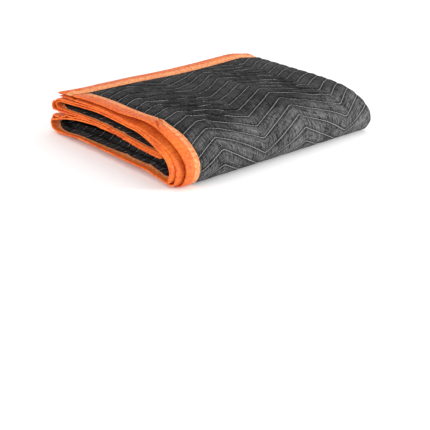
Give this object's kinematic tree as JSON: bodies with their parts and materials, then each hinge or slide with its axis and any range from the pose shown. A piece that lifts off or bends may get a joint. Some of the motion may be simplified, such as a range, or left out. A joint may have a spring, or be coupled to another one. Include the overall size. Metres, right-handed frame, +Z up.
{
  "type": "folded moving pad",
  "caption": "Quilted moving pad folded into a flat stack of layers, with zigzag stitching and a bright binding tape sewn over every edge.",
  "frame": {"origin": "middle of the folded stack's footprint, on the surface it lies on", "axes": "+X along the stack from the bound end to the folded end, -Y towards the rounded nose, +Z up"},
  "size_m": [0.5324, 0.3384, 0.0873],
  "materials": {
    "charcoal_nonwoven": "matt needled nonwoven, quilted in a zigzag with light grey thread",
    "orange_tape": "soft woven tape with a faint sheen"
  },
  "bodies": {
    "root": {"quilted_cloth": "charcoal_nonwoven", "binding_outer_leaf": "orange_tape", "binding_inner_leaf": "orange_tape", "binding_top_edge": "orange_tape", "binding_inner_edge": "orange_tape"}
  },
  "joints": []
}
